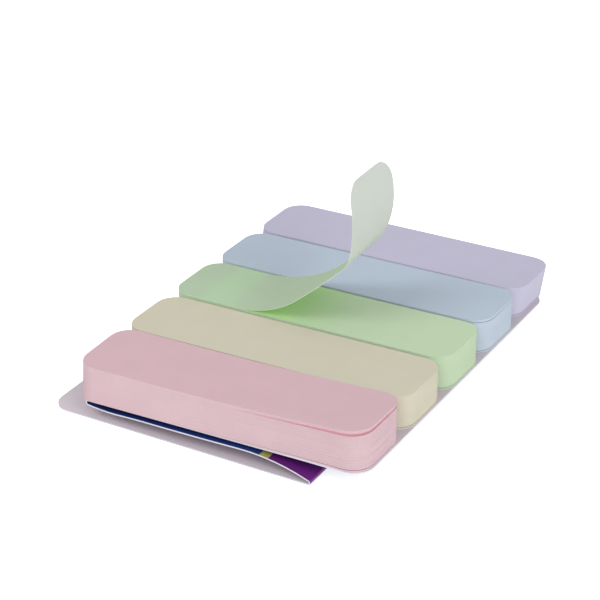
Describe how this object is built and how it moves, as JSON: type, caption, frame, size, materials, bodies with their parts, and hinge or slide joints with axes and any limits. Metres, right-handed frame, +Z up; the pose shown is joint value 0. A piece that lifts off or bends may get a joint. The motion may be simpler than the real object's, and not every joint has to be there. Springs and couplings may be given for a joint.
{
  "type": "sticky index tabs",
  "caption": "Set of narrow paper page-marker pads stuck side by side on a card whose cover is folded under them, with one tab peeled up.",
  "frame": {"origin": "on the table, below the middle of the object's box", "axes": "+X from the tabs' stuck end to their free end, +Y across the pads from pink to lilac, +Z up"},
  "size_m": [0.0838, 0.105, 0.0527],
  "materials": {
    "card": "matt",
    "pink_paper": "matt",
    "yellow_paper": "matt",
    "green_paper": "matt",
    "blue_paper": "matt",
    "lilac_paper": "matt"
  },
  "bodies": {
    "root": {"backing_card": "card", "pad_pink": "pink_paper", "pad_yellow": "yellow_paper", "pad_green": "green_paper", "pad_blue": "blue_paper", "pad_lilac": "lilac_paper", "tab_green_peeled": "green_paper", "tab_pink_top": "pink_paper", "tab_blue_top": "blue_paper"}
  },
  "joints": []
}
